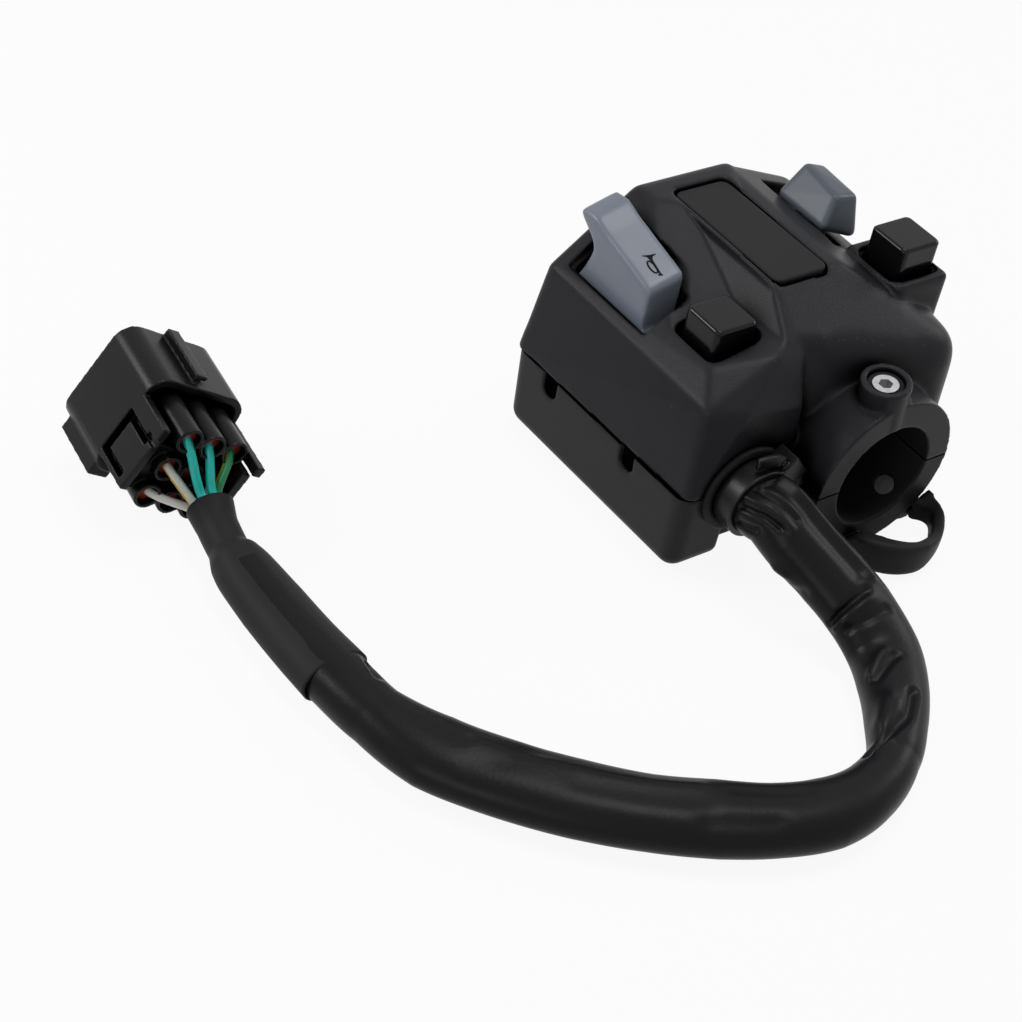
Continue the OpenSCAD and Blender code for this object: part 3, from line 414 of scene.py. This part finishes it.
# Harness: sheath, shrink sleeve and the wires into the connector
harness = {
    "sheathRoute": [(-13.6, -27.5, 0), (-3.5, -27.5, 0), (-0.6, -26.8, 0), (3.5, -25, -2.4),
                    (10.4, -22.3, -5.8),
                    (18.7, -20.2, -9.4), (27.1, -20.3, -12.7), (34.8, -24.5, -13.2), (41.6, -30, -13.2),
                    (48.2, -36.9, -13.2), (51.8, -46, -13.2), (52, -55, -13.2), (49.1, -64, -13.2),
                    (44.2, -72.9, -13.2), (37.9, -82.3, -13.2), (29.8, -91.4, -13.2), (20.7, -99.6, -13.2),
                    (10.8, -106.6, -13.2), (-0.2, -110.8, -13.2), (-11.1, -112.2, -13.2)],
    "sheathWidth": [6, 6, 6.1, 7.2, 7.3, 7.3, 7, 6.4, 5.6, 4.6,
                    5.3, 6.4, 6.7, 7.3, 7.1, 7.4, 7.4, 7.3, 5.5, 5.8],
    "sleeveRoute": [(-11.1, -112.2, -13.2), (-20, -112.9, -13.2), (-30, -113.2, -13.2), (-39, -113.5, -12.8),
                    (-42.6, -113.7, -12.4), (-45.2, -113.6, -12.1), (-50.4, -113, -11.2),
                    (-54.6, -112.2, -10.4)],
    "sleeveWidth": [6.7, 6.4, 6.2, 5.6, 4.8, 3.75, 3.8, 4.4],
    "tall": 4.78,
    "round": 6,
    "under": 0.86,  # the sheath's width inside the sleeve, as a share of it
    "power": 0.9,  # below 1 the sheath's section is fuller than an ellipse
    "lining": (0.55, 0.3),  # the sleeve's wall across and up
    "wireWidth": 1.7,
    "creases": [  # path of (place, angle), width, depth; a negative depth is a ridge
        ([(5, 0), (4.88, 85)], 0.75, 1.0),
        ([(5.16, 2), (5.04, 85)], 0.9, -0.45),
        ([(5.38, 25), (5.38, 100)], 0.9, 0.55),
        ([(7.25, 48), (6.62, 88)], 0.9, 0.9),
        ([(7.1, 40), (6.5, 75)], 1.1, -0.5),
        ([(7.6, 108), (8.25, 98), (8.88, 62), (9.5, 38)], 1.0, 1.3),
        ([(8, 70), (8.5, 50)], 2.4, -0.9),
        ([(9.05, 70), (9.4, 48)], 1.0, -0.6),
        ([(1, 128), (2.25, 112), (3.62, 106), (4.7, 110)], 1.0, -0.8),
        ([(1.6, 92), (3.4, 90), (4.5, 94)], 1.3, 0.6),
        ([(1, 18), (2.4, 34)], 0.6, 0.9),
        ([(1, 38), (2.8, 52)], 0.7, -0.5),
        ([(1, 62), (2.6, 68)], 0.6, 0.7),
        ([(1, -12), (2, -2)], 0.6, 0.8),
        ([(3.3, -30), (3.5, -16)], 1.3, -0.6),
        ([(4, -28), (4.1, -10)], 1.3, 0.5),
        ([(12.2, 125), (13.2, 126)], 2.0, 0.5),
        ([(11.5, 74), (12.8, 70)], 1.8, 0.5),
        ([(13.3, 70), (14.6, 76), (16.5, 82)], 1.3, -0.35),
        ([(13.2, 92), (15, 96)], 1.6, 0.3),
        ([(15.6, 60), (16.4, 120)], 2.2, 0.25),
        ([(18.75, 38), (18.4, 52)], 0.9, 0.9),
    ],
}


# Depth of the creases round one ring, on the sheath unrolled flat
def creased(u, angles, paths):
    v, total = angles * harness["round"], 0
    for points, width, depth in paths:
        gap = np.full(len(v), 1e3)
        for (u0, v0), (u1, v1) in zip(points, points[1:]):
            du, dv = u1 - u0, v1 - v0
            t = np.clip(((u - u0) * du + (v - v0) * dv) / (du * du + dv * dv), 0, 1)
            gap = np.minimum(gap, np.hypot(u - u0 - t * du, v - v0 - t * dv))
        total = total + depth * np.exp(-(gap / width) ** 2)
    return total


def makeHarness():
    h = harness
    line, place = softLine(h["sheathRoute"] + h["sleeveRoute"][1:], 20)
    run = np.concatenate([[0], np.cumsum(np.linalg.norm(np.diff(line, axis=0), axis=1))])
    wide = np.interp(place, range(len(h["sheathWidth"] + h["sleeveWidth"][1:])),
                     h["sheathWidth"] + [h["under"] * w for w in h["sleeveWidth"][1:]])
    rest = np.minimum(wide, h["tall"])
    flat = np.clip((place - 2) / 4, 0, 1)
    tall = flat * rest + (1 - flat) * h["round"]
    paths = [([(np.interp(p, place, run), math.radians(a) * h["round"]) for p, a in path], width, depth)
             for path, width, depth in h["creases"]]

    def sheathRing(n, angles):
        c, s = np.cos(angles), np.sin(angles)
        size = 1 - creased(run[n], angles, paths) / h["round"]
        low = -tall[n] * np.abs(s) ** h["power"]
        up = tall[n] * size * np.abs(s) ** h["power"]
        return wide[n] * size * np.sign(c) * np.abs(c) ** h["power"], np.where(s < 0, low, up)

    mesh = sweep("cableSheath", line, sheathRing, 96)
    mesh.transform(toMetres)
    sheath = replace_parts(addPiece("cableSheath", mesh, "sheathVinyl"), "cable_sheath")

    sleeveLine, sleevePlace = softLine(h["sleeveRoute"], 16)
    size = np.interp(sleevePlace, range(len(h["sleeveWidth"])), h["sleeveWidth"])
    back = list(range(20, -1, -1))  # the lining, back to the open end

    def sleeveRing(n, angles):
        inner = n < len(back)
        i = back[n] if inner else n - len(back)
        across, up = h["lining"] if inner else (0, 0)
        w = size[i] - across
        t = min(w, h["tall"] - up)
        return w * np.cos(angles), t * np.sin(angles)

    mesh = sweep("shrinkSleeve", sleeveLine, sleeveRing, 64, order=back + list(range(len(sleeveLine))))
    mesh.transform(toMetres)
    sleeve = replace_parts(addPiece("shrinkSleeve", mesh, "sleeveShrink"), "shrink_sleeve")
    return sheath, sleeve, [Vector(p) * 0.001 for p in line]


sheath, sleeve, sheathLine = makeHarness()
print("harness laid")


# Connector pose, as in the source, for the wires that enter its ways
plug = {
    "at": (-68.9, -112.9), "yaw": -5, "dip": 4, "roll": -32, "width": 22.4, "height": 22, "corner": 4,
    "floor": -18, "pitch": 5.4, "shift": 0.4, "rows": (5.9, -0.8, -7.4), "end": 10, "deep": 8, "seal": 3,
    "lip": 1.5, "wayRadius": 2, "sealRib": 0.16,
}


def plugFrame():
    roll, p = math.radians(plug["roll"]), plug
    z = (p["floor"] + 0.1 + p["corner"] + (p["width"] / 2 - p["corner"]) * math.sin(-roll)
         + (p["height"] / 2 - p["corner"]) * math.cos(roll))
    turn = (Matrix.Rotation(math.radians(p["yaw"]), 4, "Z") @ Matrix.Rotation(math.radians(p["dip"]), 4, "Y")
            @ Matrix.Rotation(roll, 4, "X"))
    return Matrix.Translation((*p["at"], z)) @ turn


leads = {
    "bend": 25,
    "wires": {  # node: finishes, then each wire's way, place round the sleeve's mouth, bow and stripe
        "wires_teal": (["wireTeal"], [(0, 0, 120, 6, None), (1, 0, 60, 5, None)]),
        "wire_green": (["wireGreen", "stripeLime"], [(2, 0, 0, 6, (6, 9))]),
        "wires_white": (["wireWhite", "stripeYellow", "stripeViolet"],
                        [(0, 1, 180, 5, (3, 5)), (0, 2, 240, 5, (10, 12)), (2, 1, 300, 5, None)]),
    },
}


def leadLine(pose, col, row, angle, bow):
    y, z = (col - 1) * plug["pitch"] + plug["shift"], plug["rows"][row]
    inside = np.array(pose @ Vector((plug["end"] - plug["deep"], y, z)))
    outside = np.array(pose @ Vector((plug["end"] - plug["deep"] + plug["seal"] + 1, y, z)))
    axis = (outside - inside) / np.linalg.norm(outside - inside)
    a = math.radians(angle)
    mouth = np.array(harness["sleeveRoute"][-1]) + [0, 2 * math.cos(a), 2 * math.sin(a)]
    p0, p1, p2, p3 = outside, outside + axis * bow, mouth - [bow * 0.8, 0, 0], mouth
    run = [(1 - t) ** 3 * p0 + 3 * t * (1 - t) ** 2 * p1 + 3 * t * t * (1 - t) * p2 + t ** 3 * p3
           for t in np.linspace(0, 1, leads["bend"])]
    return np.array([inside] + run)


def joinMeshes(name, meshes):
    whole = bmesh.new()
    for mesh in meshes:
        whole.from_mesh(mesh)
    joined = bpy.data.meshes.new(name)
    whole.to_mesh(joined)
    whole.free()
    smoothShade(joined)
    return joined


def makeLeads():
    pose, r, pieces = plugFrame(), harness["wireWidth"] / 2, []
    for node, (finish, wires) in leads["wires"].items():
        tubes = []
        for n, (col, row, angle, bow, stripe) in enumerate(wires):
            line = leadLine(pose, col, row, angle, bow)
            bands = [(0, 0)] * n + [stripe] if stripe else []
            tubes.append(sweep(node, line, lambda n, a: (r * np.cos(a), r * np.sin(a)), 20, stripes=bands))
        mesh = joinMeshes(node + "Leads", tubes)
        mesh.transform(toMetres)
        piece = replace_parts(addPiece(node + "Leads", mesh, finish), node)
        pieces.append((piece, "wire_" + finish[0][4:].lower())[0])
    return pieces


def makeSeals():
    pose, rings = plugFrame(), []
    x0, x1, r = plug["end"] - plug["deep"], plug["end"] - plug["lip"], plug["wayRadius"] - 0.02

    def ribbed(n, angles):
        size = r - plug["sealRib"] * (n % 4 == 3)
        return size * np.cos(angles), size * np.sin(angles)

    for col in range(3):
        for row in range(3):
            y, z = (col - 1) * plug["pitch"] + plug["shift"], plug["rows"][row]
            ends = [np.array(pose @ Vector((x, y, z))) for x in np.linspace(x0, x1, 12)]
            rings.append(sweep("seal", np.array(ends), ribbed, 24))
    mesh = joinMeshes("seals", rings)
    mesh.transform(toMetres)
    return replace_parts(addPiece("seals", mesh, "sealRed"), "wire_seals")


leadPieces = makeLeads()
seals = makeSeals()
print("leads run")


# Mouldings: CAD solids taken over with softened edges, as out of a mould
mouldings = {  # voxel, smoothing passes, share of faces kept, finish, body, slot
    "upper_shell": (0.00032, 6, 0.35, "grainedBlack", "housing", "black_plastic"),
    "lower_shell": (0.00032, 5, 0.35, "lowerBlack", "housing", "black_plastic"),
    "blank_panel": (0.00022, 4, 0.25, "panelBlack", "housing", "black_plastic"),
    "horn_key": (0.0002, 7, 0.4, "keyGrey", "horn", "grey_plastic"),
    "turn_knob": (0.00024, 30, 0.4, "knobGrey", "turn_cap", "grey_plastic"),
    "mode_button": (0.00017, 6, 0.3, "glossBlack", "mode", "gloss_black"),
    "beam_button": (0.00017, 6, 0.3, "glossBlack", "beam", "gloss_black"),
    "connector_housing": (0.0002, 2, 0.4, "connectorBlack", "housing", "connector_black"),
    "cable_tie": (0.00016, 4, 0.4, "tieNylon", "housing", "black_plastic"),
    "inner_leads": (0.00012, 2, 0.4, "wireTeal", "housing", "wire_teal"),
}


def settle(piece):
    mesh = bpy.data.meshes.new_from_object(piece.evaluated_get(bpy.context.evaluated_depsgraph_get()))
    old = piece.data
    piece.modifiers.clear()
    piece.data = mesh
    bpy.data.meshes.remove(old)
    return mesh


# Faces that run into each other softly, away from seats, wells and the parting line
soft = {
    "upper_shell": [
        dict(passes=34, fade=1.6, low=3.0, front=-11.5, core=0,
             keep=[  # boxes seen from above that stay crisp: x and y from and to, in millimetres
                 (-32, -19, -33.2, -20), (-32.4, -18, 10, 24), (-58, -24.8, -15.8, -0.6),
                 (-62, -34, -38, -25), (-57, -33, 5.6, 20), (-9, 0, -8, 8)]),
        dict(passes=320, fade=3.0, low=2.0, front=-4, core=16.4,  # shoulder of the bar block
             keep=[(-80, -22.4, -60, 60), (-80, 10, -60, -10), (-32.4, -18.4, 10, 24), (-10, 2, -8, 8)]),
    ],
    "horn_key": [dict(passes=150, fade=2.0, low=18.5, front=40, core=0, keep=[])],  # thumb face
    "lower_shell": [dict(passes=60, fade=1.2, low=-40, front=40, core=0, keep=[(-80, 0.8, -60, 60)])],
}


def softWeight(place, s):
    x, y, z = [c * 1000 for c in place]
    gap = min(z - s["low"], s["front"] - x, math.hypot(y, z) - s["core"])
    for x0, x1, y0, y1 in s["keep"]:
        gap = min(gap, max(x0 - x, x - x1, y0 - y, y - y1))
    return min(max(gap / s["fade"], 0), 1)


def weigh(piece, s):
    group = piece.vertex_groups.new(name="soft")
    for v in piece.data.vertices:
        w = softWeight(v.co, s)
        if w > 0:
            group.add([v.index], w, "REPLACE")
    ease = piece.modifiers.new("ease", "SMOOTH")
    ease.factor, ease.iterations, ease.vertex_group = 0.5, s["passes"], group.name


# The hook's wall stands higher towards its root and thins to its tip
hook = {"centre": (0, 5), "outer": 11.4, "foot": -17.4, "rise": 3.2, "thin": 0.62, "tip": 0.3}


def shapeHook(piece):
    p = np.array([v.co for v in piece.data.vertices]) * 1000
    x, y = p[:, 0] - hook["centre"][0], p[:, 1] - hook["centre"][1]
    r, turn = np.hypot(x, y), np.degrees(np.arctan2(y, x))
    start = np.clip((p[:, 0] - 0.4) / 2, 0, 1) * (p[:, 2] < -6)
    high = np.clip((p[:, 2] - hook["foot"]) / 5, 0, 1.6)
    root = np.interp(turn, [-90, -30, 30, 80], [1, 0.9, 0.35, 0])
    share = np.interp(turn, [-60, 0, 50, 90], [1, hook["thin"], hook["thin"], hook["tip"]])
    wall = np.where(r > 1, (hook["outer"] - (hook["outer"] - r) * share) / np.maximum(r, 1), 1)
    p[:, 0] += x * (wall - 1) * start
    p[:, 1] += y * (wall - 1) * start
    p[:, 2] += hook["rise"] * root * high * start
    piece.data.vertices.foreach_set("co", (p / 1000).ravel())


# Insides of the pry notches, given painted shade as they lie in the dark: x, y and z from and to, in
# millimetres
notches = [(-50.5, -40.9), (-26.5, -40.3)]
notchShade = {"lower_shell": [(x - 2.4, x + 2.4, y, y + 1.4, -5.2, 0.4) for x, y in notches]}


# Marks the vertices inside the boxes with the shade attribute, for painted shade
def shadeBoxes(mesh, boxes):
    p = np.array([v.co for v in mesh.vertices]) * 1000
    inside = np.zeros(len(p))
    for box in boxes:
        low, high = np.array(box[0::2]), np.array(box[1::2])
        inside[((p > low) & (p < high)).all(axis=1)] = 1
    mesh.attributes.new("shade", "FLOAT", "POINT").data.foreach_set("value", inside)


def mould(node, voxel, passes, share, finish, body, slot):
    whole = bmesh.new()
    whole.from_mesh(nodes[node].data)
    bmesh.ops.remove_doubles(whole, verts=whole.verts, dist=0.000002)
    mesh = bpy.data.meshes.new(node + "Moulded")
    whole.to_mesh(mesh)
    whole.free()
    piece = addPiece(node + "Moulded", mesh, finish, body)
    grid = piece.modifiers.new("grid", "REMESH")
    grid.mode, grid.voxel_size = "VOXEL", voxel
    if node in soft:
        bpy.context.view_layer.update()
        settle(piece)
        if node == "lower_shell":
            shapeHook(piece)
        for region in soft[node]:
            weigh(piece, region)
    soften = piece.modifiers.new("soften", "SMOOTH")
    soften.factor, soften.iterations = 0.5, passes
    thin = piece.modifiers.new("thin", "DECIMATE")
    thin.ratio = share
    bpy.context.view_layer.update()
    mesh = settle(piece)
    smoothShade(mesh)
    # painted shade for the insides of the pry notches
    if node in notchShade:
        shadeBoxes(mesh, notchShade[node])
    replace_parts(piece, node)
    return piece


moulded = {node: mould(node, *how) for node, how in mouldings.items()}
print("mouldings softened,", sum(len(p.data.polygons) for p in moulded.values()), "faces")


# Horn sign printed on the key: a bell, its tube with a loop, and a mouthpiece
sign = {
    "step": 0.12, "lift": 0.00003,
    "strokes": [  # line and its widths, in millimetres seen from above
        ([(-44.32, -31.24), (-43.5, -30.05), (-43.32, -28.82)], [0.18, 0.6, 0.18]),
        ([(-43.6, -30.05), (-43, -30.2), (-42.4, -30.3)], [1.3, 0.7, 0.46]),
        ([(-42.4, -30.3), (-39.05, -30.5)], [0.46, 0.4]),
        ([(-39.45, -30.95), (-39, -30.2)], [0.36, 0.36]),
        ([(-41.35 + 1.45 * math.cos(a) + 0.1 * math.sin(a), -30.92 + 0.54 * math.sin(a))
          for a in np.linspace(0, 2 * math.pi, 25)], [0.36] * 25),
    ],
}


def printSign(key):
    ground = BVHTree.FromObject(key, bpy.context.evaluated_depsgraph_get())
    verts, faces = [], []

    def lay(x, y):
        hit, normal, _, _ = ground.ray_cast(Vector((x * 0.001, y * 0.001, 0.06)), Vector((0, 0, -1)))
        verts.append(hit + normal * sign["lift"])

    for points, widths in sign["strokes"]:
        p = np.array(points, float)
        run = np.concatenate([[0], np.cumsum(np.linalg.norm(np.diff(p, axis=0), axis=1))])
        at = np.linspace(0, run[-1], int(run[-1] / sign["step"]) + 2)
        x, y, w = (np.interp(at, run, v) for v in (p[:, 0], p[:, 1], widths))
        dx, dy = np.gradient(x), np.gradient(y)
        size = np.hypot(dx, dy)
        for n in range(len(at)):
            sx, sy = -dy[n] / size[n] * w[n] / 2, dx[n] / size[n] * w[n] / 2
            lay(x[n] - sx, y[n] - sy)
            lay(x[n] + sx, y[n] + sy)
            if n:
                k = len(verts)
                faces.append((k - 4, k - 2, k - 1, k - 3))
    mesh = bpy.data.meshes.new("hornSign")
    mesh.from_pydata(verts, [], faces)
    addPiece("hornSign", mesh, "signBlack", "horn")


printSign(moulded["horn_key"])
print("sign printed")


# Cable exit: the grommet's lip and the loose ends of the tie
exitTrim = {
    "axis": (-27.5, 0),
    "lip": [(-15.3, 6.2), (-15.3, 7.7), (-9.5, 7.7), (-9.5, 8.9), (-9.2, 9.2), (-8.6, 9.25), (-8.2, 8.9),
            (-8.2, 8.2), (-8.5, 7.5), (-8.9, 6.9), (-10, 6.5), (-13.6, 6.3)],
    "tails": [
        [(-5.8, -21.6, 5.2), (-5.4, -23, 7.3), (-4.9, -25, 8.8), (-4.8, -27.4, 9.4), (-5.2, -29.6, 9.2)],
        [(-6, -21.4, 5), (-5.2, -20, 4.6), (-4.6, -19, 3.2), (-4.2, -18.6, 1.4)],
    ],
    "tailSize": (1.3, 0.5),
}


def spin(name, profile, sides=96):
    y, z = exitTrim["axis"]
    turns = np.linspace(0, 2 * math.pi, sides, endpoint=False)
    verts = [(x, y + r * math.cos(a), z + r * math.sin(a)) for a in turns for x, r in profile]
    n, faces = len(profile), []
    for i in range(sides):
        for k in range(n):
            j, m = (i + 1) % sides, (k + 1) % n
            faces.append((i * n + k, j * n + k, j * n + m, i * n + m))
    mesh = bpy.data.meshes.new(name)
    mesh.from_pydata(verts, [], faces)
    return mesh


def makeExit():
    lip = spin("grommetLip", exitTrim["lip"])
    tails = []
    for route in exitTrim["tails"]:
        line, _ = softLine(route, 14)
        wide, thick = exitTrim["tailSize"]

        def tailRing(n, angles):
            c, s = np.cos(angles), np.sin(angles)
            ridge = 1 + 0.35 * (n % 3 == 0)
            return (wide * np.sign(c) * np.abs(c) ** 0.4, thick * ridge * np.sign(s) * np.abs(s) ** 0.4)

        tails.append(sweep("tail", line, tailRing, 24, up=(1, 0, 0)))
    ends = joinMeshes("tieEnds", tails)
    for mesh in (lip, ends):
        mesh.transform(toMetres)
        smoothShade(mesh)
    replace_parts(addPiece("grommetLip", lip, "rubberBlack"), "cable_grommet")
    addPiece("tieEnds", ends, "tieNylon")


makeExit()
print("exit trimmed")


# Springs under the keys, their CAD meshes carried on their bodies: joint, body, fixed end, share of length
# left at the joint's limit
springs = {
    "horn_spring": ("horn_hinge", "housing", 5.65, 0.83),
    "mode_spring": ("mode_press", "housing", 14.02, 0.55),
    "beam_spring": ("beam_press", "housing", 19.82, 0.55),
    "turn_spring": ("turn_cancel", "turn_slider", 17.84, 0.22),
}


def makeSprings():
    for node, (joint, body, foot, left) in springs.items():
        piece = addPiece(node + "Coil", nodes[node].data.copy(), "springSteel", body)
        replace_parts(piece, node)
        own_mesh(piece)


makeSprings()
print("springs set")


# CAD nodes that keep their shape and get their finish
kept = {
    "collar_screws": "screwSteel", "screw_ring": "rubberBlack", "clamp_screws": "blackSteel",
    "shell_screws": "blackSteel", "contact_board": "boardBrown", "board_screws": "zincSteel",
    "horn_pin": "zincSteel", "horn_contact": "bronze", "mode_switch": "darkPlastic",
    "beam_switch": "darkPlastic", "turn_base": "darkPlastic", "turn_carriage": "darkPlastic",
    "turn_contacts": "bronze", "solder_tags": "tin", "terminal_lock": "darkPlastic", "connector_pins": "tin",
}


def dressKept():
    for node, finish in kept.items():
        mesh = nodes[node].data
        for n in range(max(1, len(mesh.materials))):
            if n < len(mesh.materials):
                mesh.materials[n] = made[finish]
            else:
                mesh.materials.append(made[finish])


dressKept()
print("kept nodes dressed")

print("scene ready")
